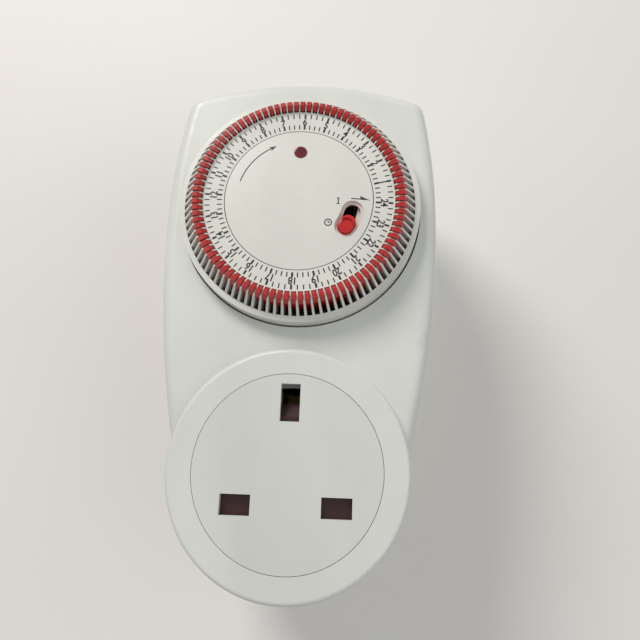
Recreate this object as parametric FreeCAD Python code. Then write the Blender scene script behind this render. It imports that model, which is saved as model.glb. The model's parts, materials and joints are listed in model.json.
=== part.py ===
import FreeCAD, Part
import math
import os

# A plug-in 24-hour segment timer switch. Millimetres.
# X is to the right seen from the front, Y goes into the wall, Z is up.
# The origin is on the plug's back face, on the centre line of the three pins.
# A depth is a distance in front of the back face, so a depth d is at y = -d.

V = FreeCAD.Vector

# Standard plug and socket
pin_spacing = 22.2
earth_above_centre = 14.8
power_below_centre = 7.4
earth_pin_width = 4.0
earth_pin_height = 8.0
earth_pin_length = 22.7
power_pin_width = 6.35
power_pin_height = 4.0
power_pin_length = 17.7
sleeve_length = 9.5
sleeve_wall = 0.5
slot_margin = 0.2
earth_tail_width = 3.0
earth_tail_height = 5.0
power_tail_width = 4.0
power_tail_height = 2.4
pin_flange = 1.4
pin_flange_thickness = 1.2

# Casing
dial_height = 62.6
top_rise = 37.0
corner_half_width = 30.8
corner_rise = 31.8
corner_radius = 5.0
shoulder_half_width = 33.2
shoulder_rise = 16.4
widest_half_width = 34.1
waist_half_width = 32.4
waist_height = 33.0
socket_radius = 27.15
socket_join_angle = 7.0
wall = 2.0
back_wall = 2.2
parting_depth = 14.0
face_depth = 37.0
socket_face_depth = 40.0
front_edge_round = 3.2
back_edge_round = 1.6
socket_edge_round = 1.0

# Housing screws
upper_screw_side = 26.0
upper_screw_rise = 24.4
lower_screw_places = ((-23.0, 26.0), (14.0, 28.0))
screw_radius = 1.4
screw_head_radius = 2.7
screw_head_thickness = 1.6
screw_boss_radius = 3.4
screw_grip = 10.0
screw_tip_gap = 1.0
screw_sink = 0.8
screw_recess_width = 0.6
screw_recess_depth = 0.9
pilot_gap = 0.03

# Socket insert and shutter
insert_radius = 21.2
insert_gap = 0.12
insert_thickness = 2.0
insert_skirt_wall = 1.2
insert_skirt_length = 4.0
ledge_width = 2.4
ledge_thickness = 1.2
tube_wall = 1.5
shutter_gap = 0.3
shutter_thickness = 2.0
shutter_travel = 5.0
shutter_overlap = 0.25
shutter_relief_gap = 0.3
shutter_guide_width = 1.2
shutter_ramp_edge = 0.3
shutter_stem_half_width = 3.2
shutter_ramp = 3.0
spring_radius = 1.5
spring_wire = 0.4
spring_turns = 5
spring_closed_pitch = 1.4
spring_seat_width = 5.0
spring_seat_thickness = 1.2

# Socket contacts
carrier_radius = 19.3
carrier_depth = 15.2
carrier_thickness = 2.0
carrier_posts = ((-12.0, 12.0), (9.0, 13.0), (0.0, -17.0))
carrier_post_radius = 2.0
contact_thickness = 0.6
contact_shutter_gap = 2.3
contact_gap = 0.3
contact_base_margin = 1.0
tail_gap = 0.1

# Dial
disc_radius = 17.85
disc_rim_thickness = 1.2
disc_crown = 0.6
disc_skirt_wall = 1.0
disc_skirt_length = 3.6
disc_gap = 0.2
hub_radius = 15.8
hub_wall = 1.4
hub_top_depth = 43.4
hub_running_gap = 0.08
floor_opening_radius = 13.4
floor_depth = 31.2
floor_thickness = 1.2
well_gap = 0.4
well_wall = 1.4
drum_radius = 29.5
rim_drop = 0.1
number_ring_depth = 44.6
tab_ring_inner_radius = 22.9
rib_rise = 0.9
rib_crest_inner_radius = 23.6
rib_crest_outer_radius = 25.9
slot_outer_radius = 28.2
rib_foot_margin = 0.15
flange_depth = 41.2
drum_back_depth = 36.6
skirt_back_depth = 34.0
web_depth = 42.2
ring_teeth = 80
ring_pitch_radius = 22.0
ring_tooth_relief = 0.2
dial_rest_angle = -1.875

# Tabs
tab_count = 96
bank_count = 12
tab_thickness = 1.08
tab_side_gap = 0.07
tab_travel = 1.7
tab_head_depth = 46.3
tab_head_height = 1.3
tab_inner_radius = 23.25
tab_stem_inner_radius = 24.2
tab_outer_radius = 26.1
tab_end_gap = 0.1
tab_point_length = 0.7
tab_nose_length = 1.15
tab_nose_drop = 1.0
tab_face_top_radius = 25.4
tab_face_length = 1.8
tab_foot_clearance = 1.1
tab_foot_chamfer = 0.8

# Neon light
neon_height = 12.1
lens_radius = 1.55
lens_dome = 0.35
lens_gap = 0.05
lens_foot_depth = 40.4
lens_flange = 0.2
lamp_gap = 0.3
lamp_side_gap = 0.1
lamp_height = 10.8
lamp_radius = 2.0
lamp_length = 12.0
lamp_cup_wall = 0.8
lamp_cup_height = 5.0
resistor_radius = 1.1
resistor_length = 6.5
resistor_side = 12.0
resistor_rise = 14.8
resistor_lead = 2.0

# Manual override
knob_arc_radius = 13.35
knob_rest_angle = -31.0
knob_slot_angle = 17.8
knob_length_angle = 5.2
knob_radius = 1.85
knob_side_gap = 0.12
knob_rise = 0.1
knob_ridge_rise = 0.5
knob_ridge_width = 0.8
knob_edge_round = 0.3
knob_recess_margin = 0.8
knob_recess_depth = 0.7
hub_notch_gap = 0.3
override_plate_thickness = 0.9
override_plate_gap = 0.3
override_plate_inner_radius = 10.8
override_plate_outer_radius = 13.1
override_plate_spread = 21.0
override_plate_lead = 3.0
override_skirt_spread = 25.0
override_leg_width = 2.4
override_leg_inset = 0.2
override_arm_thickness = 1.1
override_arm_reach = 27.0
override_arm_width = 3.0

# Trip lever and switch
lever_width = 2.2
lever_nose_length = 2.4
lever_clearance = 0.3
lever_arm_depth = 28.0
lever_arm_thickness = 1.5
lever_pivot_drop = 18.6
lever_pivot_radius = 0.9
lever_boss_radius = 1.7
lever_tail = 4.0
lever_nub_drop = 7.1
lever_nub_size = 1.6
pivot_running_gap = 0.05
ear_thickness = 0.9
ear_gap = 0.2
window_margin = 1.0
blade_depth = 24.6
blade_thickness = 0.6
blade_root_drop = 21.3
blade_tip_drop = 4.0
blade_width = 2.4
blade_root_gap = 0.3
rivet_radius = 1.1
rivet_thickness = 0.7
contact_opening = 0.6
rivet_drop = 5.6
switch_half_width = 3.3
switch_bottom_drop = 29.4
switch_block_top_drop = 16.0
switch_foot_margin = 1.0
switch_block_drop = 1.0
terminal_post_width = 5.0
strip_thickness = 0.6
strip_width = 4.0
feed_strip_depth = 8.0
feed_strip_lane = 19.6
feed_strip_turn_height = 6.0
terminal_leg_gap = 0.1

# Motor
motor_side = 9.0
motor_rise = 9.0
motor_radius = 17.0
motor_wall = 0.9
motor_depth = 11.5
motor_plate_thickness = 0.8
bobbin_inner_radius = 9.2
bobbin_outer_radius = 15.4
bobbin_thickness = 0.7
bobbin_top_depth = 9.6
claw_count = 6
claw_radius = 8.3
claw_width = 2.2
claw_thickness = 0.6
plate_bore = 3.3
rotor_radius = 7.4
rotor_bottom_depth = 3.9
rotor_length = 6.6
lead_radius = 0.55
lead_gap = 0.05
lead_line_angle = -25.0
lead_line_stub = 6.0
lead_line_drop = 12.6
lead_neutral_angle = 250.0
lead_neutral_stub = 7.0
lead_lane = 17.2
lead_lane_top = 30.0
lead_lane_bottom = 8.0
lead_end = 15.0

# Gear train
gear_distance = 10.8
output_angle = 215.0
output_teeth = 10
pinion_teeth = 8
wheel_teeth = (64, 64, 50, 50, 48, 48)
train_start_depth = 12.9
train_pitch = 1.7
wheel_thickness = 0.9
pinion_overhang = 1.1
arbor_radius = 0.5
arbor_gap = 0.05
arbor_seat_gap = 0.01
output_shaft_radius = 0.75
output_pivot_radius = 0.45
clutch_spring_radius = 3.0
clutch_spring_thickness = 0.7
clutch_collar_radius = 2.0
clutch_collar_thickness = 0.6
clutch_spring_fit = 0.02
gear_plate_depth = 24.6
gear_plate_thickness = 1.2
plate_post_radius = 1.6
plate_post_inset = 1.0
plate_post_angles = (20.0, 160.0)
plate_foot_angle = 250.0
plate_margin = 3.0
axial_gap = 0.05
drive_pinion_bottom = 36.9
drive_pinion_top = 40.8
drive_window_gap = 0.6

# Tooth forms: how far the tooth reaches out and in, in modules,
# and its thickness at the pitch line, tip and root, in pitches
wheel_tooth = (0.9, 1.2, 0.46, 0.20, 0.60)
pinion_tooth = (0.8, 1.25, 0.40, 0.20, 0.45)
ring_tooth = (0.8, 1.2, 0.42, 0.20, 0.56)
drive_tooth = (0.8, 1.2, 0.42, 0.22, 0.46)

# How far a cutting shape passes a face, and how far a joined shape sinks into one
cut = 1.0
weld = 0.1

# Derived places
dial_place = (0.0, dial_height)
top_height = dial_height + top_rise
corner_height = dial_height + corner_rise
shoulder_height = dial_height + shoulder_rise
upper_screw_height = dial_height + upper_screw_rise
upper_screw_places = ((-upper_screw_side, upper_screw_height), (upper_screw_side, upper_screw_height))
screw_places = upper_screw_places + lower_screw_places
screw_head_seat = screw_head_thickness + screw_sink
insert_back_depth = socket_face_depth - insert_thickness
shutter_front_depth = insert_back_depth - shutter_gap
shutter_back_depth = shutter_front_depth - shutter_thickness
insert_skirt_depth = insert_back_depth - insert_skirt_length
contact_top_depth = shutter_back_depth - contact_shutter_gap
carrier_top_depth = carrier_depth + carrier_thickness
floor_top_depth = floor_depth + floor_thickness
well_radius = drum_radius + well_gap
hub_inner_radius = hub_radius - hub_wall
rib_crest_depth = number_ring_depth + rib_rise
ring_tooth_depth = web_depth - cut - ring_tooth_relief
motor_place = (-motor_side, dial_height + motor_rise)
motor_top_depth = motor_depth + motor_plate_thickness
gear_plate_top = gear_plate_depth + gear_plate_thickness
ring_module = 2 * ring_pitch_radius / ring_teeth
drive_pitch_radius = ring_module * output_teeth / 2
output_distance = ring_pitch_radius - drive_pitch_radius
arm_top_depth = floor_depth - override_plate_gap
lever_front_depth = lever_arm_depth + lever_arm_thickness
blade_front_depth = blade_depth + blade_thickness
tab_foot_depth = floor_top_depth + tab_foot_clearance + tab_travel
tab_pushed_foot = tab_foot_depth - tab_travel
tab_face_foot_depth = tab_head_depth - tab_face_length
lever_middle = (tab_stem_inner_radius + tab_outer_radius) / 2
lever_pivot_height = dial_height - lever_pivot_drop
lever_nub_height = dial_height - lever_nub_drop
blade_root_height = dial_height - blade_root_drop
blade_tip_height = dial_height - blade_tip_drop
rivet_height = dial_height - rivet_drop
switch_left = lever_middle - switch_half_width
switch_right = lever_middle + switch_half_width
switch_bottom = dial_height - switch_bottom_drop
switch_block_top = dial_height - switch_block_top_drop
knob_end_angle = knob_rest_angle + knob_slot_angle
override_top = hub_top_depth - override_plate_gap
power_slot_width = power_pin_width + 2 * slot_margin
power_slot_height = power_pin_height + 2 * slot_margin
earth_slot_width = earth_pin_width + 2 * slot_margin
earth_slot_height = earth_pin_height + 2 * slot_margin


def turned(place, radius, angle):
    """The point at a radius and an angle (degrees, up from +X) about a place."""
    a = math.radians(angle)
    return (place[0] + radius * math.cos(a), place[1] + radius * math.sin(a))


def meet(first, second, reach):
    """The point at one reach from two places, to the left of the line from the first."""
    middle = ((first[0] + second[0]) / 2, (first[1] + second[1]) / 2)
    gap = math.dist(first, second)
    rise = math.sqrt(reach ** 2 - (gap / 2) ** 2)
    along = ((second[0] - first[0]) / gap, (second[1] - first[1]) / gap)
    return (middle[0] - rise * along[1], middle[1] + rise * along[0])


output_place = turned(dial_place, output_distance, output_angle)
layshaft_place = meet(motor_place, output_place, gear_distance)


def point(x, z, depth):
    return V(x, -depth, z)


def disc(radius, low, high, place=(0.0, 0.0)):
    """A round bar along Y between two depths."""
    return Part.makeCylinder(radius, high - low, point(place[0], place[1], high), V(0, 1, 0))


def ring(outer, inner, low, high, place=(0.0, 0.0)):
    return disc(outer, low, high, place).cut(disc(inner, low - cut, high + cut, place))


def box(left, right, bottom, top, low, high):
    """A box between two depths."""
    return Part.makeBox(right - left, high - low, top - bottom, point(left, bottom, high))


def centred_box(place, width, height, low, high):
    x, z = place
    return box(x - width / 2, x + width / 2, z - height / 2, z + height / 2, low, high)


def prism(places, low, high):
    """A straight-sided plate of the given outline between two depths."""
    corners = [point(x, z, high) for x, z in places]
    face = Part.Face(Part.makePolygon(corners + corners[:1]))
    return face.extrude(V(0, high - low, 0))


def side_prism(profile, left, right):
    """A plate across X, from an outline of (height, depth) points."""
    corners = [point(left, z, d) for z, d in profile]
    face = Part.Face(Part.makePolygon(corners + corners[:1]))
    return face.extrude(V(right - left, 0, 0))


def turned_solid(profile, place=(0.0, 0.0)):
    """A solid of revolution about Y, from (radius, depth) points."""
    corners = [point(place[0] + r, place[1], d) for r, d in profile]
    face = Part.Face(Part.makePolygon(corners + corners[:1]))
    return face.revolve(point(place[0], place[1], 0), V(0, 1, 0), 360)


def rounded_plate(places, radius, low, high):
    """A plate that reaches a radius beyond a polygon of places."""
    corners = [point(x, z, high) for x, z in places]
    wire = Part.makePolygon(corners + corners[:1]).makeOffset2D(radius)
    return Part.Face(wire).extrude(V(0, high - low, 0))


def spun(shape, angle, place=dial_place):
    """A copy turned about the Y axis at a place, anticlockwise seen from the front."""
    copy = shape.copy()
    copy.rotate(point(place[0], place[1], 0), V(0, -1, 0), angle)
    return copy


def export(name, shape):
    clean = shape.removeSplitter()
    clean.exportStep(os.path.join("parts", name + ".step"))
    print(name, len(clean.Solids), round(clean.Volume, 2), clean.isValid())


def export_group(name, shapes):
    Part.makeCompound(shapes).exportStep(os.path.join("parts", name + ".step"))
    print(name, len(shapes), "solids")


def outline_wire(depth, inset):
    """The casing's outline: round at the socket, widest at the dial, arched at the top."""
    join = turned((0.0, 0.0), socket_radius - inset, socket_join_angle)
    lift = V(0, -depth, 0)

    def both(x, z):
        return V(x, 0, z) + lift, V(-x, 0, z) + lift

    join_right, join_left = both(*join)
    waist_right, waist_left = both(waist_half_width - inset, waist_height)
    wide_right, wide_left = both(widest_half_width - inset, dial_height)
    shoulder_right, shoulder_left = both(shoulder_half_width - inset, shoulder_height)
    corner_right, corner_left = both(corner_half_width - inset, corner_height - inset)
    edges = [
        Part.Arc(join_left, V(0, 0, inset - socket_radius) + lift, join_right).toShape(),
        Part.Arc(join_right, waist_right, wide_right).toShape(),
        Part.Arc(wide_right, shoulder_right, corner_right).toShape(),
        Part.Arc(corner_right, V(0, 0, top_height - inset) + lift, corner_left).toShape(),
        Part.Arc(corner_left, shoulder_left, wide_left).toShape(),
        Part.Arc(wide_left, waist_left, join_left).toShape(),
    ]
    return Part.Wire(edges)


def outline_block(low, high, inset=0.0):
    """The outline as a block, with its two top corners rounded."""
    block = Part.Face(outline_wire(high, inset)).extrude(V(0, high - low, 0))
    corners = [e for e in block.Edges if is_corner_edge(e, corner_height - inset)]
    return block.makeFillet(corner_radius - inset, corners)


def is_corner_edge(edge, height):
    middle = edge.BoundBox.Center
    straight = edge.BoundBox.YLength > 1 and edge.BoundBox.XLength < 0.001
    return straight and abs(middle.z - height) < 0.01


def edges_at(shape, depth, tolerance=0.001):
    level = [e for e in shape.Edges if e.BoundBox.YLength < tolerance]
    return [e for e in level if abs(e.BoundBox.YMin + depth) < tolerance]


def tooth_points(teeth, module, form, sign):
    reach, root, at_pitch, at_tip, at_root = form
    pitch_radius = teeth * module / 2
    tip = pitch_radius + sign * reach * module
    bottom = pitch_radius - sign * root * module
    step = 2 * math.pi / teeth
    flank = ((bottom, -at_root), (pitch_radius, -at_pitch), (tip, -at_tip))
    flank += ((tip, at_tip), (pitch_radius, at_pitch), (bottom, at_root))
    return [(r, (i + s / 2) * step) for i in range(teeth) for r, s in flank]


def toothed(teeth, module, form, low, high, place, turn=0.0, sign=1):
    """A toothed bar. With sign -1 it is the hollow of an internal gear."""
    polar = tooth_points(teeth, module, form, sign)
    outline = [turned(place, r, math.degrees(a) + turn) for r, a in polar]
    return prism(outline, low, high)


def bearing_line(first, second):
    """The angle, in degrees, from one place to another."""
    return math.degrees(math.atan2(second[1] - first[1], second[0] - first[0]))


def swept_tube(points, radius, bend_share=0.45):
    """A round wire along straight runs joined by tangent arcs."""
    edges = []
    start = points[0]
    for before, corner, after in zip(points, points[1:], points[2:]):
        back = before - corner
        ahead = after - corner
        half = back.getAngle(ahead) / 2
        bend = bend_share * min(back.Length, ahead.Length)
        rise = bend * math.tan(half)
        inner = corner + back.normalize() * bend
        outer = corner + ahead.normalize() * bend
        split = (back + ahead).normalize()
        middle = corner + split * (rise / math.sin(half) - rise)
        edges.append(Part.LineSegment(start, inner).toShape())
        edges.append(Part.Arc(inner, middle, outer).toShape())
        start = outer
    edges.append(Part.LineSegment(start, points[-1]).toShape())
    return sweep(edges, radius)


def sweep(edges, radius):
    path = Part.Wire(edges)
    first = edges[0]
    way = first.tangentAt(first.FirstParameter)
    circle = Part.Wire(Part.makeCircle(radius, first.valueAt(first.FirstParameter), way))
    return path.makePipeShell([circle], True, False)


def screw_boss(place, low, high):
    return disc(screw_boss_radius, low, high, place)


def front_housing():
    shell = outline_block(parting_depth, face_depth)
    shell = shell.makeFillet(front_edge_round, edges_at(shell, face_depth))
    boss = disc(socket_radius, parting_depth, socket_face_depth)
    boss = boss.makeFillet(socket_edge_round, edges_at(boss, socket_face_depth))
    shell = shell.fuse(boss)
    hollow = outline_block(parting_depth - cut, face_depth - wall, wall)
    hollow = hollow.fuse(disc(socket_radius - wall, parting_depth - cut, face_depth - wall))
    shell = shell.cut(hollow)
    shell = shell.cut(disc(well_radius, parting_depth, face_depth + cut, dial_place))
    bosses = [screw_boss(p, parting_depth, face_depth - wall) for p in screw_places]
    shell = shell.fuse([dial_well()] + bosses)
    tube_outer = insert_radius + insert_gap + tube_wall
    shell = shell.fuse(disc(tube_outer, insert_skirt_depth - ledge_thickness, face_depth))
    shell = shell.cut(disc(insert_radius + insert_gap, insert_skirt_depth, socket_face_depth + cut))
    shell = shell.cut(disc(insert_radius - ledge_width, parting_depth, socket_face_depth))
    pilot = screw_radius + pilot_gap
    pilots = [disc(pilot, parting_depth - cut, parting_depth + screw_grip, p) for p in screw_places]
    return shell.cut(pilots)


def dial_well():
    """The well the dial turns in: its wall, floor and hub, with windows for what passes through."""
    well = ring(well_radius + well_wall, well_radius, floor_depth, face_depth - wall / 2, dial_place)
    floor = disc(well_radius + well_wall, floor_depth, floor_top_depth, dial_place)
    hub = disc(hub_radius, floor_depth, hub_top_depth, dial_place)
    well = well.fuse([floor, hub])
    well = well.cut(disc(hub_inner_radius, floor_top_depth, hub_top_depth + cut, dial_place))
    well = well.cut(disc(floor_opening_radius, floor_depth - cut, floor_top_depth + cut, dial_place))
    drive_window = drive_pitch_radius + ring_module + drive_window_gap
    bore = disc(drive_window, floor_depth - cut, floor_top_depth + cut, output_place)
    bore = bore.cut(disc(hub_radius, floor_depth - cut, floor_top_depth + cut, dial_place))
    half_window = lever_width / 2 + window_margin
    window = box(
        lever_middle - half_window, lever_middle + half_window,
        dial_height - half_window, dial_height + half_window,
        floor_depth - cut, floor_top_depth + cut,
    )
    notch = arc_stadium(
        knob_arc_radius, knob_radius + hub_notch_gap, knob_rest_angle, knob_end_angle,
        override_top - hub_notch_gap, hub_top_depth + cut,
    )
    return well.cut([bore, window, notch])


def back_housing():
    shell = outline_block(0, parting_depth)
    shell = shell.makeFillet(back_edge_round, edges_at(shell, 0))
    hollow = outline_block(back_wall, parting_depth + cut, wall)
    shell = shell.cut(hollow)
    posts = [disc(carrier_post_radius, back_wall - weld, carrier_depth, p) for p in carrier_posts]
    bosses = [screw_boss(p, back_wall - weld, parting_depth) for p in screw_places]
    shell = shell.fuse(posts + bosses)
    holes = [disc(screw_radius + pivot_running_gap, -cut, parting_depth + cut, p) for p in screw_places]
    sink = screw_head_radius + pivot_running_gap
    sinks = [disc(sink, -cut, screw_head_seat, p) for p in screw_places]
    play = 2 * pivot_running_gap
    pins = [
        centred_box(place, width + play, height + play, -cut, back_wall + cut)
        for place, width, height in pin_sections()
    ]
    return shell.cut(holes + sinks + pins)


def pin_sections():
    """Where each pin passes the back wall, with its width and height."""
    half = pin_spacing / 2
    return (
        ((0.0, earth_above_centre), earth_pin_width, earth_pin_height),
        ((half, -power_below_centre), power_pin_width, power_pin_height),
        ((-half, -power_below_centre), power_pin_width, power_pin_height),
    )


def housing_screw(place):
    head = disc(screw_head_radius, screw_head_seat - screw_head_thickness, screw_head_seat, place)
    recess_depth = screw_head_seat - screw_head_thickness + screw_recess_depth
    recess = centred_box(place, screw_head_radius, screw_recess_width, 0, recess_depth)
    recess = recess.fuse(centred_box(place, screw_recess_width, screw_head_radius, 0, recess_depth))
    shank = disc(screw_radius, screw_head_seat, parting_depth + screw_grip - screw_tip_gap, place)
    return head.cut(recess).fuse(shank)


def tapered_pin(place, width, height, length, taper=0.7):
    """A flat pin that stands out of the back, with its tip chamfered."""
    pin = centred_box(place, width, height, -length, 0)
    tip = [e for e in pin.Edges if abs(e.BoundBox.YMin - length) < 0.001 and e.BoundBox.YLength < 0.001]
    return pin.makeChamfer(taper, tip)


def earth_pin():
    place = (0.0, earth_above_centre)
    pin = tapered_pin(place, earth_pin_width, earth_pin_height, earth_pin_length)
    neck = centred_box(place, earth_pin_width, earth_pin_height, 0, back_wall)
    flange = centred_box(
        place, earth_pin_width + 2 * pin_flange, earth_pin_height + 2 * pin_flange,
        back_wall, back_wall + pin_flange_thickness,
    )
    tail = centred_box(place, earth_tail_width, earth_tail_height, back_wall, carrier_top_depth)
    return pin.fuse([neck, flange, tail])


def power_pin(side, tail_top):
    place = (side * pin_spacing / 2, -power_below_centre)
    pin = tapered_pin(place, power_pin_width, power_pin_height, power_pin_length)
    neck = centred_box(place, power_pin_width, power_pin_height, 0, back_wall)
    flange = centred_box(
        place, power_pin_width + 2 * pin_flange, power_pin_height + 2 * pin_flange,
        back_wall, back_wall + pin_flange_thickness,
    )
    tail = centred_box(place, power_tail_width, power_tail_height, back_wall, tail_top)
    return pin.fuse([neck, flange, tail]).cut(pin_sleeve(side))


def pin_sleeve(side):
    """The insulating sleeve, let into the pin so that both keep the standard section."""
    place = (side * pin_spacing / 2, -power_below_centre)
    outer = centred_box(place, power_pin_width, power_pin_height, -sleeve_length, 0)
    core = centred_box(
        place, power_pin_width - 2 * sleeve_wall, power_pin_height - 2 * sleeve_wall,
        -sleeve_length - cut, cut,
    )
    return outer.cut(core)


def pin_slots(low, high):
    half = pin_spacing / 2
    return [
        centred_box((0.0, earth_above_centre), earth_slot_width, earth_slot_height, low, high),
        centred_box((half, -power_below_centre), power_slot_width, power_slot_height, low, high),
        centred_box((-half, -power_below_centre), power_slot_width, power_slot_height, low, high),
    ]


def spring_seat_height():
    """The height of the seat below the shutter that its spring stands on."""
    closed_length = (spring_turns + 1) * spring_wire * spring_closed_pitch
    return shutter_bottom() - shutter_travel - closed_length


def socket_insert():
    plate = disc(insert_radius, insert_back_depth, socket_face_depth)
    skirt_inner = insert_radius - insert_skirt_wall
    skirt = ring(insert_radius, skirt_inner, insert_skirt_depth, insert_back_depth)
    half = spring_seat_width / 2
    top = spring_seat_height()
    seat = box(-half, half, top - spring_seat_thickness, top, shutter_back_depth, insert_back_depth)
    lowest = shutter_bottom() - shutter_travel
    guide_middle = shutter_half_width() + shutter_gap + shutter_guide_width / 2
    guide_height = shutter_wing_top() - lowest
    guides = [
        centred_box(
            (s * guide_middle, lowest + guide_height / 2), shutter_guide_width, guide_height,
            shutter_back_depth, insert_back_depth,
        )
        for s in (-1, 1)
    ]
    inner = disc(insert_radius, shutter_back_depth, insert_back_depth)
    fittings = [inner.common(part) for part in [seat] + guides]
    relief_side = shutter_half_width() + shutter_relief_gap
    relief = box(
        -relief_side, relief_side, lowest - shutter_relief_gap, shutter_wing_top(),
        shutter_back_depth - shutter_relief_gap, insert_back_depth,
    )
    slots = pin_slots(insert_back_depth - cut, socket_face_depth + cut)
    return plate.fuse([skirt.cut(relief)] + fittings).cut(slots)


def shutter_half_width():
    return pin_spacing / 2 + power_slot_width / 2 + shutter_overlap


def shutter_bottom():
    return -power_below_centre - power_slot_height / 2 - shutter_overlap


def shutter_wing_top():
    return -power_below_centre + power_slot_height / 2 + shutter_overlap


def safety_shutter():
    """Covers both lower slots and half the earth slot, with a ramp for the earth pin."""
    wings = box(
        -shutter_half_width(), shutter_half_width(), shutter_bottom(), shutter_wing_top(),
        shutter_back_depth, shutter_front_depth,
    )
    stem_top = earth_above_centre
    profile = (
        (shutter_bottom(), shutter_back_depth),
        (shutter_bottom(), shutter_front_depth),
        (stem_top - shutter_ramp, shutter_front_depth),
        (stem_top, shutter_back_depth + shutter_ramp_edge),
        (stem_top, shutter_back_depth),
    )
    stem = side_prism(profile, -shutter_stem_half_width, shutter_stem_half_width)
    return wings.fuse(stem)


def shutter_spring():
    """A coil along Z between the seat and the shutter."""
    low = spring_seat_height() + spring_wire / 2
    high = shutter_bottom() - spring_wire / 2
    depth = shutter_front_depth - spring_radius - spring_wire / 2
    quarters = spring_turns * 4

    def on_coil(step):
        a = step * math.pi / 2
        height = low + (high - low) * step / quarters
        return V(spring_radius * math.cos(a), spring_radius * math.sin(a) - depth, height)

    edges = [Part.Arc(on_coil(i), on_coil(i + 0.5), on_coil(i + 1)).toShape() for i in range(quarters)]
    return sweep(edges, spring_wire / 2)


def contact_carrier():
    plate = disc(carrier_radius, carrier_depth, carrier_top_depth)
    low = carrier_depth - cut
    high = carrier_top_depth + cut
    earth = centred_box(
        (0.0, earth_above_centre),
        earth_tail_width + 2 * tail_gap, earth_tail_height + 2 * tail_gap, low, high,
    )
    neutral = centred_box(
        (-pin_spacing / 2, -power_below_centre),
        power_tail_width + 2 * tail_gap, power_tail_height + 2 * tail_gap, low, high,
    )
    return plate.cut([earth, neutral])


def earth_contact():
    """Two leaves that grip the long sides of the earth pin."""
    place = (0.0, earth_above_centre)
    inner = earth_pin_width / 2 + contact_gap
    outer = inner + contact_thickness
    base = centred_box(
        place, 2 * outer, earth_pin_height, carrier_top_depth, carrier_top_depth + contact_thickness
    )
    half = earth_pin_height / 2 - contact_base_margin
    leaves = [
        centred_box(
            (s * (inner + outer) / 2, earth_above_centre), contact_thickness, 2 * half,
            carrier_top_depth, contact_top_depth,
        )
        for s in (-1, 1)
    ]
    return base.fuse(leaves)


def power_contact(side, base_depth):
    """Two leaves that grip the wide faces of a line or neutral pin."""
    place = (side * pin_spacing / 2, -power_below_centre)
    inner = power_pin_height / 2 + contact_gap
    outer = inner + contact_thickness
    base = centred_box(place, power_pin_width, 2 * outer, base_depth, base_depth + contact_thickness)
    leaf_width = power_pin_width - 2 * contact_base_margin
    leaves = [
        centred_box(
            (place[0], place[1] + s * (inner + outer) / 2), leaf_width, contact_thickness,
            base_depth, contact_top_depth,
        )
        for s in (-1, 1)
    ]
    return base.fuse(leaves)


def strip_run(start, end, width, low, high):
    """A flat strip between two places."""
    along = V(end[0] - start[0], 0, end[1] - start[1]).normalize() * (width / 2)
    side = (along.z, -along.x)
    corners = [
        (start[0] + side[0], start[1] + side[1]),
        (end[0] + side[0], end[1] + side[1]),
        (end[0] - side[0], end[1] - side[1]),
        (start[0] - side[0], start[1] - side[1]),
    ]
    return prism(corners, low, high)


def line_feed_strip():
    """From the line pin's tail, behind the carrier, to the fixed terminal."""
    low = feed_strip_depth
    high = low + strip_thickness
    start = (pin_spacing / 2, -power_below_centre)
    turn = (feed_strip_lane, feed_strip_turn_height)
    end = (feed_strip_lane, rivet_height + strip_width / 2)
    foot = strip_run(start, turn, strip_width, low, high)
    pad = disc(strip_width / 2, low, high, start)
    bend = disc(strip_width / 2, low, high, turn)
    lane = strip_run(turn, end, strip_width, low, high)
    level = (feed_strip_lane, rivet_height)
    reach = strip_run(level, (terminal_right(), rivet_height), strip_width, low, high)
    return foot.fuse([pad, bend, lane, reach])


def terminal_right():
    """The side of the post that carries the fixed terminal."""
    return lever_middle - terminal_post_width / 2


def fixed_terminal():
    low = terminal_depth()
    left = terminal_right() - terminal_leg_gap - strip_thickness
    half = strip_width / 2
    bottom = rivet_height - half
    top = rivet_height + half
    high = low + strip_thickness
    plate = box(left, lever_middle + half / 2, bottom, top, low, high)
    leg = box(left, left + strip_thickness, bottom, top, feed_strip_depth + strip_thickness, high)
    return plate.fuse(leg)


def terminal_depth():
    return blade_depth - 2 * rivet_thickness - contact_opening - strip_thickness


def terminal_rivet():
    low = terminal_depth() + strip_thickness
    return disc(rivet_radius, low, low + rivet_thickness, (lever_middle, rivet_height))


def blade_rivet():
    return disc(rivet_radius, blade_depth - rivet_thickness, blade_depth, (lever_middle, rivet_height))


def switch_blade():
    half = blade_width / 2
    return box(
        lever_middle - half, lever_middle + half, blade_root_height, blade_tip_height,
        blade_depth, blade_front_depth,
    )


def switched_line_strip():
    """From the blade's root down the switch base, and across to the line contact."""
    half = blade_width / 2
    left = lever_middle - half
    right = lever_middle + half
    root = blade_root_height - blade_root_gap
    bottom = switch_bottom - strip_thickness
    clamp = box(left, right, bottom, root, blade_depth, blade_front_depth)
    drop = box(left, right, bottom, switch_bottom, carrier_top_depth, blade_front_depth)
    end = (pin_spacing / 2, -power_below_centre)
    high = carrier_top_depth + strip_thickness
    run = strip_run((lever_middle, bottom), end, blade_width, carrier_top_depth, high)
    pad = disc(power_pin_height / 2, carrier_top_depth, high, end)
    return clamp.fuse([drop, run, pad])


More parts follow.
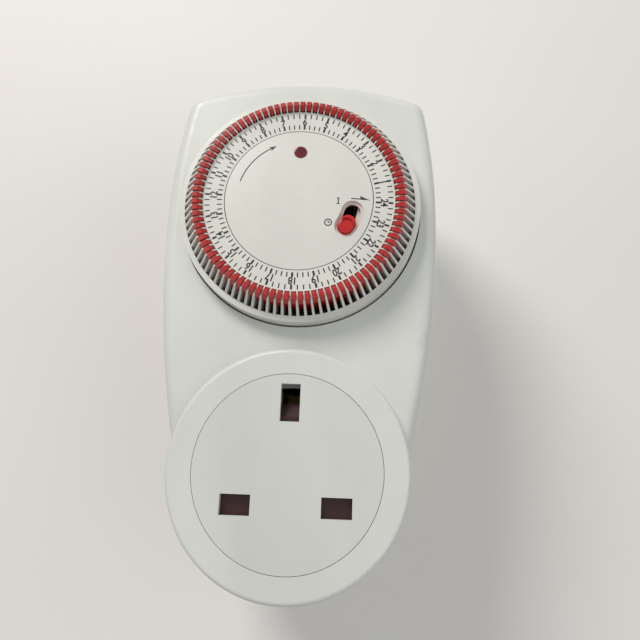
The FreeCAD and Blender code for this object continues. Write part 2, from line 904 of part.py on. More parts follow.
def switch_base():
    """The moulded base: a block under the blade's root, a post for the terminal, and two ears."""
    foot_top = blade_tip_height + switch_foot_margin
    foot = box(switch_left, switch_right, switch_bottom, foot_top, back_wall, back_wall + wall)
    clamp_top = blade_root_height - blade_root_gap
    block = box(switch_left, switch_right, switch_bottom, clamp_top, back_wall, blade_depth)
    low_block = box(
        switch_left, switch_right, clamp_top - weld, switch_block_top,
        back_wall, blade_depth - switch_block_drop,
    )
    half = terminal_post_width / 2
    post = box(
        lever_middle - half, lever_middle + half, rivet_height - half, rivet_height + half,
        back_wall, terminal_depth(),
    )
    ears = [lever_ear(s) for s in (-1, 1)]
    return foot.fuse([block, low_block, post] + ears)


def lever_ear(side):
    near = lever_width / 2 + ear_gap
    far = near + ear_thickness
    left = lever_middle + min(side * near, side * far)
    right = lever_middle + max(side * near, side * far)
    bottom = lever_pivot_height - lever_boss_radius
    top = lever_pivot_height + lever_boss_radius
    front = lever_pivot_depth() + lever_boss_radius
    ear = box(left, right, bottom, top, blade_depth - switch_block_drop - weld, front)
    return ear.cut(pivot_bar(lever_pivot_radius + pivot_running_gap, left - cut, right + cut))


def pivot_bar(radius, left, right):
    end = point(left, lever_pivot_height, lever_pivot_depth())
    return Part.makeCylinder(radius, right - left, end, V(1, 0, 0))


def lever_pivot_depth():
    return lever_arm_depth + lever_arm_thickness / 2


def trip_lever():
    """Rocks on its trunnions. The tabs pass over its nose, and its nub pushes the blade."""
    half = lever_width / 2
    left = lever_middle - half
    right = lever_middle + half
    nose_top = tab_pushed_foot - lever_clearance
    arm = box(
        left, right, lever_pivot_height - lever_tail, dial_height + lever_nose_length / 2,
        lever_arm_depth, lever_front_depth,
    )
    nose_half = lever_nose_length / 2
    nose = side_prism(
        (
            (dial_height - nose_half, lever_arm_depth),
            (dial_height + nose_half, lever_arm_depth),
            (dial_height + nose_half, nose_top - nose_half / 2),
            (dial_height + nose_half / 2, nose_top),
            (dial_height - nose_half / 2, nose_top),
            (dial_height - nose_half, nose_top - nose_half / 2),
        ),
        left, right,
    )
    nub = centred_box(
        (lever_middle, lever_nub_height), lever_nub_size, lever_nub_size,
        blade_front_depth + 2 * axial_gap, lever_arm_depth,
    )
    boss = pivot_bar(lever_boss_radius, left, right)
    reach = ear_gap + ear_thickness
    trunnions = pivot_bar(lever_pivot_radius, left - reach, right + reach)
    return arm.fuse([nose, nub, boss, trunnions])


def arc_band(inner, outer, first, last, low, high):
    """A curved plate about the dial's axis, with true arcs."""
    whole = ring(outer, inner, low, high, dial_place)
    reach = 2 * outer
    sides = [dial_place, turned(dial_place, reach, first)]
    sides += [turned(dial_place, reach, (first + last) / 2), turned(dial_place, reach, last)]
    return whole.common(prism(sides, low - cut, high + cut))


def arc_stadium(radius, half_width, first, last, low, high):
    """A slot-shaped solid along an arc about the dial's axis, round at both ends."""
    band = arc_band(radius - half_width, radius + half_width, first, last, low, high)
    ends = [disc(half_width, low, high, turned(dial_place, radius, a)) for a in (first, last)]
    return band.fuse(ends)


def disc_top(radius):
    """The depth of the centre disc's crowned face at a radius."""
    crown_radius = (disc_radius ** 2 + disc_crown ** 2) / (2 * disc_crown)
    drop = crown_radius - math.sqrt(crown_radius ** 2 - radius ** 2)
    return hub_top_depth + disc_rim_thickness + disc_crown - drop


def centre_disc():
    """The fixed disc, crowned, clipped into the hub and holding the drum on."""
    axis = dial_place[0]
    low = hub_top_depth
    rim = V(axis + disc_radius, -(low + disc_rim_thickness), dial_height)
    middle = V(axis + disc_radius / 2, -disc_top(disc_radius / 2), dial_height)
    top = V(axis, -disc_top(0), dial_height)
    foot = V(axis + disc_radius, -low, dial_height)
    centre = V(axis, -low, dial_height)
    edges = [
        Part.LineSegment(centre, foot).toShape(),
        Part.LineSegment(foot, rim).toShape(),
        Part.Arc(rim, middle, top).toShape(),
        Part.LineSegment(top, centre).toShape(),
    ]
    plate = Part.Face(Part.Wire(edges)).revolve(centre, V(0, 1, 0), 360)
    skirt_outer = hub_inner_radius - 2 * hub_running_gap
    skirt_inner = skirt_outer - disc_skirt_wall
    skirt = ring(skirt_outer, skirt_inner, low - disc_skirt_length, low, dial_place)
    lens_place = (0, dial_height + neon_height)
    lens_gap_size = 2 * (hub_inner_radius - neon_height)
    below = low - 2 * disc_skirt_length
    lens_relief = centred_box(lens_place, lens_gap_size, lens_gap_size, below, low)
    first = knob_rest_angle - override_skirt_spread
    last = knob_end_angle + override_skirt_spread
    slide_relief = arc_band(skirt_inner - cut, skirt_outer + cut, first, last, below, low)
    plate = plate.fuse(skirt.cut([lens_relief, slide_relief]))
    high = disc_top(0) + cut
    lens_hole = disc(lens_radius + lens_gap, low - cut, high, lens_place)
    recess = arc_stadium(
        knob_arc_radius, knob_radius + knob_recess_margin, knob_rest_angle, knob_end_angle,
        disc_top(knob_arc_radius) - knob_recess_depth, high,
    )
    slot = arc_stadium(
        knob_arc_radius, knob_radius + knob_side_gap, knob_rest_angle, knob_end_angle, low - cut, high
    )
    return plate.cut([lens_hole, recess, slot])


def dial_drum():
    """The number ring, the ribbed tab ring and the internal gear, turning on the hub."""
    ring_tip = ring_pitch_radius - ring_tooth[0] * ring_module
    lip_top = hub_top_depth - disc_gap
    skirt_inner = slot_outer_radius + tab_end_gap
    profile = (
        (hub_radius + hub_running_gap, web_depth),
        (hub_radius + hub_running_gap, lip_top),
        (disc_radius + disc_gap, lip_top),
        (disc_radius + disc_gap, number_ring_depth),
        (tab_ring_inner_radius, number_ring_depth),
        (rib_crest_inner_radius, rib_crest_depth),
        (rib_crest_outer_radius, rib_crest_depth),
        (slot_outer_radius + rib_foot_margin, flange_depth + rim_drop),
        (drum_radius, flange_depth),
        (drum_radius, skirt_back_depth),
        (skirt_inner, skirt_back_depth),
        (skirt_inner, drum_back_depth),
        (ring_tip, drum_back_depth),
        (ring_tip, web_depth),
    )
    drum = spun(turned_solid(profile, dial_place), dial_rest_angle)
    line = bearing_line(dial_place, output_place)
    teeth = toothed(
        ring_teeth, ring_module, ring_tooth, drum_back_depth - cut, ring_tooth_depth, dial_place,
        line + 180 / ring_teeth, -1,
    )
    drum = drum.cut(teeth)
    half = tab_thickness / 2 + tab_side_gap
    high = rib_crest_depth + cut
    stem_inner = tab_stem_inner_radius - tab_end_gap
    head_low = tab_head_depth - tab_head_height - tab_travel
    stem_slot = tab_box(stem_inner, slot_outer_radius, half, skirt_back_depth - cut, high)
    head_slot = tab_box(tab_inner_radius - tab_end_gap, slot_outer_radius, half, head_low, high)
    slot = stem_slot.fuse(head_slot)
    return drum.cut([spun(slot, tab_angle(i)) for i in range(tab_count)])


def tab_box(inner, outer, half, low, high):
    return box(inner, outer, dial_height - half, dial_height + half, low, high)


def tab_angle(index):
    return dial_rest_angle + (index + 0.5) * 360 / tab_count


def tab():
    """One tab at the three o'clock place: a head with a pointed inner end, and a stem."""
    head_back = tab_head_depth - tab_head_height
    profile = [
        (tab_inner_radius, head_back),
        (tab_inner_radius, tab_head_depth - tab_nose_drop),
        (tab_inner_radius + tab_nose_length, tab_head_depth),
        (tab_face_top_radius, tab_head_depth),
        (tab_outer_radius, tab_face_foot_depth),
        (tab_outer_radius, tab_foot_depth + tab_foot_chamfer),
        (tab_outer_radius - tab_foot_chamfer, tab_foot_depth),
        (tab_stem_inner_radius + tab_foot_chamfer, tab_foot_depth),
        (tab_stem_inner_radius, tab_foot_depth + tab_foot_chamfer),
        (tab_stem_inner_radius, head_back),
    ]
    half = tab_thickness / 2
    corners = [V(r, -d, dial_height - half) for r, d in profile]
    side = Part.Face(Part.makePolygon(corners + corners[:1])).extrude(V(0, 0, tab_thickness))
    plan = (
        (tab_inner_radius, dial_height - half / 4),
        (tab_inner_radius, dial_height + half / 4),
        (tab_inner_radius + tab_point_length, dial_height + half),
        (tab_outer_radius, dial_height + half),
        (tab_outer_radius, dial_height - half),
        (tab_inner_radius + tab_point_length, dial_height - half),
    )
    return side.common(prism(plan, tab_foot_depth - cut, tab_head_depth + cut))


def tab_bank(bank):
    one = tab()
    per_bank = tab_count // bank_count
    return [spun(one, tab_angle(bank * per_bank + i)) for i in range(per_bank)]


def neon_lens():
    """A round lens through the disc, with a flange below it."""
    place = (0, dial_height + neon_height)
    face = disc_top(neon_height)
    stem = disc(lens_radius, lens_foot_depth, face + lens_dome, place)
    stem = stem.makeFillet(lens_dome * 0.9, edges_at(stem, face + lens_dome))
    flange = disc(lens_radius + lens_flange, lens_foot_depth, hub_top_depth, place)
    return stem.fuse(flange)


def lamp_place():
    return (0, dial_height + lamp_height)


def neon_lamp():
    high = lens_foot_depth - lamp_gap
    glass = disc(lamp_radius, high - lamp_length, high, lamp_place())
    return glass.makeFillet(lamp_radius * 0.6, edges_at(glass, high))


def resistor_place():
    return (-resistor_side, dial_height + resistor_rise)


def neon_resistor():
    left, height = resistor_place()
    depth = gear_plate_top + resistor_radius
    along = V(1, 0, 0)
    barrel = Part.makeCylinder(resistor_radius, resistor_length, point(left, height, depth), along)
    lead_length = resistor_length + 2 * resistor_lead
    lead_start = point(left - resistor_lead, height, depth)
    return barrel.fuse(Part.makeCylinder(resistor_radius / 4, lead_length, lead_start, along))


def override_knob():
    """The red knob, which fills the lower end of its slot, with a ridge for the finger."""
    face = disc_top(knob_arc_radius)
    top = face + knob_rise
    last = knob_rest_angle + knob_length_angle
    knob = arc_stadium(knob_arc_radius, knob_radius, knob_rest_angle, last, override_top, top)
    knob = knob.makeFillet(knob_edge_round, edges_at(knob, top))
    place = turned(dial_place, knob_arc_radius, last)
    ridge = disc(knob_radius - knob_edge_round, top - weld, top + knob_ridge_rise, place)
    inner = turned(dial_place, knob_arc_radius, last - math.degrees(knob_ridge_width / knob_arc_radius))
    ridge = ridge.cut(disc(knob_radius - knob_edge_round, top - cut, top + cut, inner))
    return knob.fuse(ridge)


def override_slide():
    """The curved slide under the disc, its leg through the floor, and the arm over the lever."""
    high = override_top
    low = high - override_plate_thickness
    plate = arc_band(
        override_plate_inner_radius, override_plate_outer_radius,
        knob_rest_angle - override_plate_spread,
        knob_rest_angle + knob_length_angle + override_plate_lead, low, high,
    )
    arm_low = arm_top_depth - override_arm_thickness
    leg_inner = override_plate_inner_radius + override_leg_inset
    leg_outer = override_plate_outer_radius - override_leg_inset
    leg = tab_box(leg_inner, leg_outer, override_leg_width / 2, arm_low, low + weld)
    arm = tab_box(
        override_plate_inner_radius, override_arm_reach, override_arm_width / 2, arm_low, arm_top_depth
    )
    return plate.fuse([spun(leg, knob_rest_angle), spun(arm, knob_rest_angle)])


def stator_cup():
    """The motor's steel cup, with its claw poles."""
    low = back_wall
    cup = disc(motor_radius, low, motor_depth, motor_place)
    cup = cup.cut(disc(motor_radius - motor_wall, low + motor_wall, motor_depth + cut, motor_place))
    foot = low + motor_wall - weld
    claws = [claw(i * 360 / claw_count, foot, bobbin_top_depth) for i in range(claw_count)]
    return cup.fuse(claws).cut(arbor_seat(low, low + motor_wall, motor_place))


def arbor_seat(low, high, place):
    return disc(arbor_radius + arbor_seat_gap, low - cut, high + cut, place)


def claw(angle, low, high):
    left = motor_place[0] + claw_radius
    middle = (left + claw_thickness / 2, motor_place[1])
    return spun(centred_box(middle, claw_thickness, claw_width, low, high), angle, motor_place)


def plate_places():
    """The three posts that hold the two motor plates apart."""
    reach = motor_radius - plate_post_radius - plate_post_inset
    upper = [turned(motor_place, reach, angle) for angle in plate_post_angles]
    return upper + [turned(output_place, gear_distance + plate_post_radius, plate_foot_angle)]


def motor_plate():
    """Closes the cup, carries the other claw poles, and bears the arbors."""
    plate = rounded_plate(plate_places(), plate_margin, motor_depth, motor_top_depth)
    plate = plate.fuse(disc(motor_radius, motor_depth, motor_top_depth, motor_place))
    half_step = 180 / claw_count
    low = back_wall + motor_wall + bobbin_thickness
    high = motor_depth + weld
    claws = [claw(half_step + i * 360 / claw_count, low, high) for i in range(claw_count)]
    plate = plate.fuse(claws)
    holes = [
        disc(plate_bore, motor_depth - cut, motor_top_depth + cut, motor_place),
        arbor_seat(motor_depth, motor_top_depth, layshaft_place),
        disc(output_pivot_radius + arbor_gap, motor_depth - cut, motor_top_depth + cut, output_place),
    ]
    return plate.cut(holes)


def coil_bobbin():
    low = back_wall + motor_wall
    high = bobbin_top_depth
    core = ring(bobbin_inner_radius + bobbin_thickness, bobbin_inner_radius, low, high, motor_place)
    flanges = [
        ring(bobbin_outer_radius, bobbin_inner_radius, start, start + bobbin_thickness, motor_place)
        for start in (low, high - bobbin_thickness)
    ]
    return core.fuse(flanges)


def coil_winding():
    low = back_wall + motor_wall + bobbin_thickness
    return ring(
        bobbin_outer_radius - bobbin_thickness, bobbin_inner_radius + bobbin_thickness,
        low, bobbin_top_depth - bobbin_thickness, motor_place,
    )


def rotor():
    high = rotor_bottom_depth + rotor_length
    return ring(rotor_radius, arbor_radius + arbor_gap, rotor_bottom_depth, high, motor_place)


def stage_module(stage):
    return 2 * gear_distance / (wheel_teeth[stage] + pinion_teeth)


def stage_depth(stage):
    return train_start_depth + stage * train_pitch


def stage_places(stage):
    """The wheel's place and its driver's place for a stage of the train."""
    drivers = (motor_place, layshaft_place)
    driver = drivers[stage % 2]
    last = len(wheel_teeth) - 1
    wheel = output_place if stage == last else drivers[(stage + 1) % 2]
    return wheel, driver


def pinion_turn(stage):
    """How far the pinion of a stage is turned, so that a tooth points at its wheel."""
    wheel, driver = stage_places(stage)
    return bearing_line(driver, wheel)


def stage_pinion(stage, low):
    driver = stage_places(stage)[1]
    high = stage_depth(stage) + pinion_overhang
    module = stage_module(stage)
    pinion = toothed(pinion_teeth, module, pinion_tooth, low, high, driver, pinion_turn(stage))
    return pinion.cut(disc(arbor_radius + arbor_gap, low - cut, high + cut, driver))


def rotor_pinion():
    return stage_pinion(0, rotor_bottom_depth + rotor_length)


def stage_wheel(stage, bore):
    """The wheel of a stage, with a gap between two teeth towards its driver."""
    wheel, driver = stage_places(stage)
    teeth = wheel_teeth[stage]
    low = stage_depth(stage)
    turn = bearing_line(wheel, driver) + 180 / teeth
    high = low + wheel_thickness
    blank = toothed(teeth, stage_module(stage), wheel_tooth, low, high, wheel, turn)
    return blank.cut(disc(bore, low - cut, high + cut, wheel))


def train_wheel(stage):
    """A wheel with the next stage's pinion on its front."""
    wheel = stage_wheel(stage, arbor_radius + arbor_gap)
    return wheel.fuse(stage_pinion(stage + 1, stage_depth(stage) + wheel_thickness - weld))


def clutch_stage():
    return len(wheel_teeth) - 1


def clutch_wheel():
    return stage_wheel(clutch_stage(), output_shaft_radius + arbor_gap)


def clutch_top():
    return stage_depth(clutch_stage()) + wheel_thickness


def clutch_spring():
    """A dished washer that presses the clutch wheel against the shaft's collar."""
    low = clutch_top() + axial_gap
    high = low + clutch_spring_thickness
    inner = output_shaft_radius + clutch_spring_fit
    profile = (
        (inner, low + clutch_spring_thickness / 2),
        (inner, high),
        (clutch_collar_radius, high),
        (clutch_spring_radius, low + clutch_spring_thickness / 2),
        (clutch_spring_radius, low),
        (clutch_collar_radius, low),
    )
    return turned_solid(profile, output_place)


def output_pinion():
    """The shaft the clutch slips on, with the pinion that drives the dial."""
    collar_low = clutch_top() + axial_gap + clutch_spring_thickness
    shaft_low = motor_top_depth + axial_gap
    pivot = disc(output_pivot_radius, motor_depth, shaft_low + weld, output_place)
    shaft = disc(output_shaft_radius, shaft_low, drive_pinion_bottom + weld, output_place)
    collar = disc(clutch_collar_radius, collar_low, collar_low + clutch_collar_thickness, output_place)
    line = bearing_line(dial_place, output_place)
    teeth = toothed(
        output_teeth, ring_module, drive_tooth,
        drive_pinion_bottom, drive_pinion_top, output_place, line,
    )
    return shaft.fuse([pivot, collar, teeth])


def gear_plate():
    """The front plate of the train, with its posts and the cup for the lamp."""
    low = gear_plate_depth
    high = gear_plate_top
    cup_top = high + lamp_cup_height
    cup_inner = lamp_radius + lamp_side_gap
    left_post, right_post = plate_places()[1], plate_places()[0]
    plate = rounded_plate(plate_places(), plate_margin, low, high)
    pad = rounded_plate([right_post, lamp_place(), left_post], plate_margin, low, high)
    posts = [disc(plate_post_radius, motor_top_depth, low + weld, p) for p in plate_places()]
    cup = disc(cup_inner + lamp_cup_wall, high - weld, cup_top, lamp_place())
    plate = plate.fuse([pad, cup] + posts)
    holes = [
        disc(cup_inner, lens_foot_depth - lamp_gap - lamp_length, cup_top + cut, lamp_place()),
        arbor_seat(low, high, motor_place),
        arbor_seat(low, high, layshaft_place),
        disc(output_shaft_radius + arbor_gap, low - cut, high + cut, output_place),
    ]
    return plate.cut(holes)


def gear_arbors():
    return [
        disc(arbor_radius, back_wall, gear_plate_top, motor_place),
        disc(arbor_radius, motor_depth, gear_plate_top, layshaft_place),
    ]


def motor_lead(places, depth):
    return swept_tube([point(x, z, depth) for x, z in places], lead_radius)


def motor_lead_line():
    """From the motor's side to the feed strip."""
    depth = feed_strip_depth + strip_thickness + lead_radius + lead_gap
    start = turned(motor_place, motor_radius + lead_gap, lead_line_angle)
    turn = turned(motor_place, motor_radius + lead_line_stub, lead_line_angle)
    return motor_lead([start, turn, (feed_strip_lane, dial_height - lead_line_drop)], depth)


def motor_lead_neutral():
    """From the motor's side to the neutral pin's tail."""
    depth = back_wall + pin_flange_thickness + lead_radius + lead_gap
    places = [
        turned(motor_place, motor_radius + lead_gap, lead_neutral_angle),
        turned(motor_place, motor_radius + lead_neutral_stub, lead_neutral_angle),
        (-lead_lane, lead_lane_top),
        (-lead_lane, lead_lane_bottom),
        (-lead_end, -power_below_centre),
    ]
    return motor_lead(places, depth)


def main():
    os.makedirs("parts", exist_ok=True)
    export("front_housing", front_housing())
    export("back_housing", back_housing())
    export_group("housing_screws", [housing_screw(p) for p in screw_places])
    export("earth_pin", earth_pin())
    export("line_pin", power_pin(1, feed_strip_depth))
    export("neutral_pin", power_pin(-1, carrier_top_depth))
    export("line_pin_sleeve", pin_sleeve(1))
    export("neutral_pin_sleeve", pin_sleeve(-1))
    export("socket_insert", socket_insert())
    export("safety_shutter", safety_shutter())
    export("shutter_spring", shutter_spring())
    export("contact_carrier", contact_carrier())
    export("earth_contact", earth_contact())
    export("neutral_contact", power_contact(-1, carrier_top_depth))
    export("line_contact", power_contact(1, carrier_top_depth + strip_thickness))
    export("line_feed_strip", line_feed_strip())
    export("fixed_terminal", fixed_terminal())
    export("terminal_rivet", terminal_rivet())
    export("switched_line_strip", switched_line_strip())
    export("switch_base", switch_base())
    export("switch_blade", switch_blade())
    export("blade_rivet", blade_rivet())
    export("trip_lever", trip_lever())
    export("override_knob", override_knob())
    export("override_slide", override_slide())
    export("centre_disc", centre_disc())
    export("neon_lens", neon_lens())
    export("neon_lamp", neon_lamp())
    export("neon_resistor", neon_resistor())
    export("dial_drum", dial_drum())
    for bank in range(bank_count):
        export_group(f"tab_bank_{bank + 1:02d}", tab_bank(bank))
    export("stator_cup", stator_cup())
    export("motor_plate", motor_plate())
    export("coil_bobbin", coil_bobbin())
    export("coil_winding", coil_winding())
    export("rotor", rotor())
    export("rotor_pinion", rotor_pinion())
    for stage in range(clutch_stage()):
        export(f"train_wheel_{stage + 1}", train_wheel(stage))
    export("clutch_wheel", clutch_wheel())
    export("clutch_spring", clutch_spring())
    export("output_pinion", output_pinion())
    export("gear_plate", gear_plate())
    export_group("gear_arbors", gear_arbors())
    export("motor_lead_line", motor_lead_line())
    export("motor_lead_neutral", motor_lead_neutral())


main()
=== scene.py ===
import json
import math

import bpy
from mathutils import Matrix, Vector


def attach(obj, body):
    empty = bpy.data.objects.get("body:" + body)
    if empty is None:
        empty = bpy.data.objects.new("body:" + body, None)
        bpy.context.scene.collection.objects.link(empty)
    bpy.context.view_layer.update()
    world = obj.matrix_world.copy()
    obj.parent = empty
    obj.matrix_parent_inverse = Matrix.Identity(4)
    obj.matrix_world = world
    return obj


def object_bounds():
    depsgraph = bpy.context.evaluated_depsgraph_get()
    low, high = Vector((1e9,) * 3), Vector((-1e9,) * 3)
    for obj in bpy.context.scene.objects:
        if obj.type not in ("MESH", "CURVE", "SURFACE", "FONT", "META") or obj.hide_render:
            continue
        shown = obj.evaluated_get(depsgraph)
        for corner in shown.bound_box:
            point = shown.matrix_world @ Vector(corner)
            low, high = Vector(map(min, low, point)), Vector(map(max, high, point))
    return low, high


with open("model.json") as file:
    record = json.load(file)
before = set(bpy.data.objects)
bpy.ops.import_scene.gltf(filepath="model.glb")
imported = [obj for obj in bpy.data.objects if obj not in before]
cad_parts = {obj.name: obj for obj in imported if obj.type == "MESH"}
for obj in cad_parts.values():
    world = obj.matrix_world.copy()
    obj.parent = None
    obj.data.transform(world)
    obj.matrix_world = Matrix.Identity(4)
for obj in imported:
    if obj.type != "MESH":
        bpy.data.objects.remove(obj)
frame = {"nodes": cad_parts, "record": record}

CAD_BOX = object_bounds()
MM = 0.001

# Places on the dial, in millimetres from its axis
DIAL_HEIGHT = 62.6
DIAL_REST_ANGLE = -1.875
HOURS = 24
QUARTERS = 4 * HOURS
INNER_TICKS = (18.55, 19.75)
OUTER_TICKS = (21.55, 22.7)
DIGIT_RADIUS = 20.62
DIGIT_HEIGHT = 1.7
DIGIT_SQUEEZE = 0.9
DIGIT_WEIGHT = 0.05
DIGIT_STEPS = 4
CAPITAL_SHARE = 0.7
TICK_WIDTH = 0.28
HOUR_TICK_WIDTH = 0.5
INK_STEP = 0.02
INK_DEPTH = 0.06
DIGIT_SPACING = 0.92
RAY_START = -0.1

# The centre disc's crown
CROWN_RADIUS = 265.8
CROWN_MIDDLE = (4.0, 6.0)

# The seam between the two shells, drawn as a line of painted shade
SEAM_DEPTH = 14.0
SEAM_WIDTH = 0.14
SEAM_CORE = 0.035
SEAM_PAINTED_SHADE = 0.28

# The override slide's slot
KNOB_ARC_RADIUS = 13.35
KNOB_ANGLES = (-31.0, -13.2)
KNOB_RADIUS = 1.85
# Painted reflection: a pink cast on the white disc around the slot, standing in for light bounced off the
# red knob
PAINTED_RED_BOUNCE = (226, 178, 178)
PAINTED_RED_BOUNCE_SHARE = 0.55
PAINTED_RED_BOUNCE_REACH = 1.3

# The marks on the centre disc, in millimetres and degrees
ARROW_RADIUS = 15.0
ARROW_START = 164.0
ARROW_END = 113.5
ARROW_STEPS = 20
ARROW_HEAD = 7.0
ARROW_JOIN = 0.6
ARROW_NOTCH = 0.72
ARROW_LINE = 0.26
ARROW_BARB = 0.62
POINTER_SHAFT = ((12.6, 0.32), (12.6, 0.08), (16.0, -0.14), (16.0, 0.14))
POINTER_HEAD = ((14.7, 0.9), (14.95, 0.06), (17.3, -0.22))
ON_PLACE = (9.55, -0.55)
ON_HALF_HEIGHT = 0.72
ON_HALF_STROKE = 0.13
ON_HALF_SERIF = (0.4, 0.1)
CLOCK_PLACE = (7.3, -6.1)
CLOCK_RING = (0.68, 0.93)
CLOCK_HANDS = ((0.0, 0.2, 0.1, 0.3), (0.26, 0.0, 0.16, 0.1))

# The plastics' patterns: waves to the metre, and depth in metres
FLOW_SCALE = 55.0
FLOW_STRETCH = (1.0, 1.0, 0.45)
GLOSS_SCALE = 240.0
GRAIN_SCALE = 2600.0
GRAIN_DEPTH = 0.00001
GRAIN_STRENGTH = 0.6
MOTTLE = 0.05

# The metals' patterns, and the winding's pitch in millimetres
TARNISH_SCALE = 130.0
TARNISH_SHADE = 0.72
DRAWN_SCALE = 900.0
DRAWN_DEPTH = 0.00002
DRAWN_STRENGTH = 0.35
WIRE_PITCH = 0.25

# The camera, in millimetres and degrees, from the photograph's three slots and circles
CAMERA_PLACE = (13.19, -196.95, -1.61)
CAMERA_TURN = (107.69, -2.09, 2.14)
CAMERA_LENS = 38.64
CAMERA_SHIFT = -0.0924
BACKDROP_GAP = 1.0
BACKDROP_SIZE = 6000.0
SENSOR_WIDTH = 36.0
CLIP_START = 0.01

# The lamps, in metres and watts: place, size, power and colour
LAMP_TARGET = (0.0, -0.02, 0.04)
LAMPS = {
    "key": ((-0.3, -0.5, 0.5), 0.3, 3.4, (1.0, 0.98, 0.95)),
    "fill": ((0.45, -0.5, -0.1), 0.6, 0.9, (0.95, 0.98, 1.0)),
    "back": ((0.2, 0.5, 0.45), 0.5, 3.2, (1.0, 1.0, 1.0)),
}
WORLD_COLOUR = (0.92, 0.94, 0.95, 1.0)
WORLD_STRENGTH = 0.45
WORLD_SEEN = (226, 224, 220)


def linear(red, green, blue):
    """Screen colour values, 0 to 255, as linear light."""
    def one(value):
        share = value / 255
        return share / 12.92 if share <= 0.04045 else ((share + 0.055) / 1.055) ** 2.4
    return (one(red), one(green), one(blue), 1.0)


class Material:
    """A material under construction: its node tree and its main shader."""

    def __init__(self, name, colour, roughness=0.4, metallic=0.0, ior=1.46):
        self.material = bpy.data.materials.new(name)
        self.material.use_nodes = True
        self.nodes = self.material.node_tree.nodes
        self.links = self.material.node_tree.links
        self.shader = self.nodes["Principled BSDF"]
        self.shader.inputs["Base Color"].default_value = colour
        self.shader.inputs["Roughness"].default_value = roughness
        self.shader.inputs["Metallic"].default_value = metallic
        self.shader.inputs["IOR"].default_value = ior
        self.place = self.nodes.new("ShaderNodeTexCoord").outputs["Object"]

    def noise(self, scale, detail=3.0, stretch=(1, 1, 1)):
        mapping = self.nodes.new("ShaderNodeMapping")
        mapping.inputs["Scale"].default_value = stretch
        self.links.new(self.place, mapping.inputs["Vector"])
        node = self.nodes.new("ShaderNodeTexNoise")
        node.inputs["Scale"].default_value = scale
        node.inputs["Detail"].default_value = detail
        self.links.new(mapping.outputs["Vector"], node.inputs["Vector"])
        return node.outputs["Fac"]

    def spread(self, value, low, high, start=0.3, end=0.7):
        node = self.nodes.new("ShaderNodeMapRange")
        node.inputs["From Min"].default_value = start
        node.inputs["From Max"].default_value = end
        node.inputs["To Min"].default_value = low
        node.inputs["To Max"].default_value = high
        self.links.new(value, node.inputs["Value"])
        return node.outputs["Result"]

    def blend(self, share, first, second):
        node = self.nodes.new("ShaderNodeMix")
        node.data_type = "RGBA"
        self.links.new(share, node.inputs["Factor"])
        for socket, colour in (("A", first), ("B", second)):
            target = [s for s in node.inputs if s.name == socket and s.type == "RGBA"][0]
            if isinstance(colour, bpy.types.NodeSocket):
                self.links.new(colour, target)
            else:
                target.default_value = colour
        return [s for s in node.outputs if s.type == "RGBA"][0]

    def math(self, operation, first, second=None):
        node = self.nodes.new("ShaderNodeMath")
        node.operation = operation
        for socket, value in zip(node.inputs, (first, second)):
            if value is None:
                continue
            if isinstance(value, bpy.types.NodeSocket):
                self.links.new(value, socket)
            else:
                socket.default_value = value
        return node.outputs["Value"]

    def axis(self, name):
        node = self.nodes.new("ShaderNodeSeparateXYZ")
        self.links.new(self.place, node.inputs["Vector"])
        return node.outputs[name]

    def set_colour(self, value):
        self.links.new(value, self.shader.inputs["Base Color"])

    def set_roughness(self, value):
        self.links.new(value, self.shader.inputs["Roughness"])

    def bump(self, height, distance, strength=1.0):
        node = self.nodes.new("ShaderNodeBump")
        node.inputs["Distance"].default_value = distance
        node.inputs["Strength"].default_value = strength
        self.links.new(height, node.inputs["Height"])
        self.links.new(node.outputs["Normal"], self.shader.inputs["Normal"])


def tinted(colour, factor):
    return tuple(min(1.0, c * factor) for c in colour[:3]) + (1.0,)


def moulded(name, colour, roughness=0.38):
    """Moulded plastic: a fine spark-eroded grain, slight flow mottling and uneven gloss."""
    m = Material(name, colour, roughness)
    flow = m.noise(FLOW_SCALE, 4.0, FLOW_STRETCH)
    m.set_colour(m.blend(m.spread(flow, 0.0, 1.0), tinted(colour, 1 - MOTTLE), tinted(colour, 1 + MOTTLE)))
    gloss = m.noise(GLOSS_SCALE)
    m.set_roughness(m.spread(gloss, roughness - 0.06, roughness + 0.08))
    m.bump(m.noise(GRAIN_SCALE, 2.0), GRAIN_DEPTH, GRAIN_STRENGTH)
    return m


def casing_plastic(name, colour):
    """The casing's plastic, with a fine line of painted shade where its two shells meet."""
    m = moulded(name, colour)
    off = m.math("ABSOLUTE", m.math("ADD", m.axis("Y"), SEAM_DEPTH * MM))
    seam = m.spread(off, 1.0, 0.0, SEAM_CORE * MM, SEAM_WIDTH * MM)
    plain = m.shader.inputs["Base Color"].links[0].from_socket
    # Painted shade: the seam line is darkened to stand in for the shade in the gap between the shells.
    m.set_colour(m.blend(seam, plain, tinted(colour, SEAM_PAINTED_SHADE)))
    return m


def translucent_red(name, colour, roughness, random_share=0.12):
    """Glossy red plastic that varies a little from piece to piece."""
    m = Material(name, colour, roughness, 0.0, 1.5)
    island = m.nodes.new("ShaderNodeNewGeometry").outputs["Random Per Island"]
    each = m.blend(island, tinted(colour, 1 - random_share), tinted(colour, 1 + random_share))
    streak = m.noise(420.0, 3.0, (1.0, 0.3, 1.0))
    m.set_colour(m.blend(m.spread(streak, 0.0, 0.35), each, tinted(colour, 0.6)))
    m.set_roughness(m.spread(m.noise(900.0), roughness - 0.05, roughness + 0.1))
    m.bump(m.noise(1500.0, 2.0), 0.00001, 0.5)
    return m


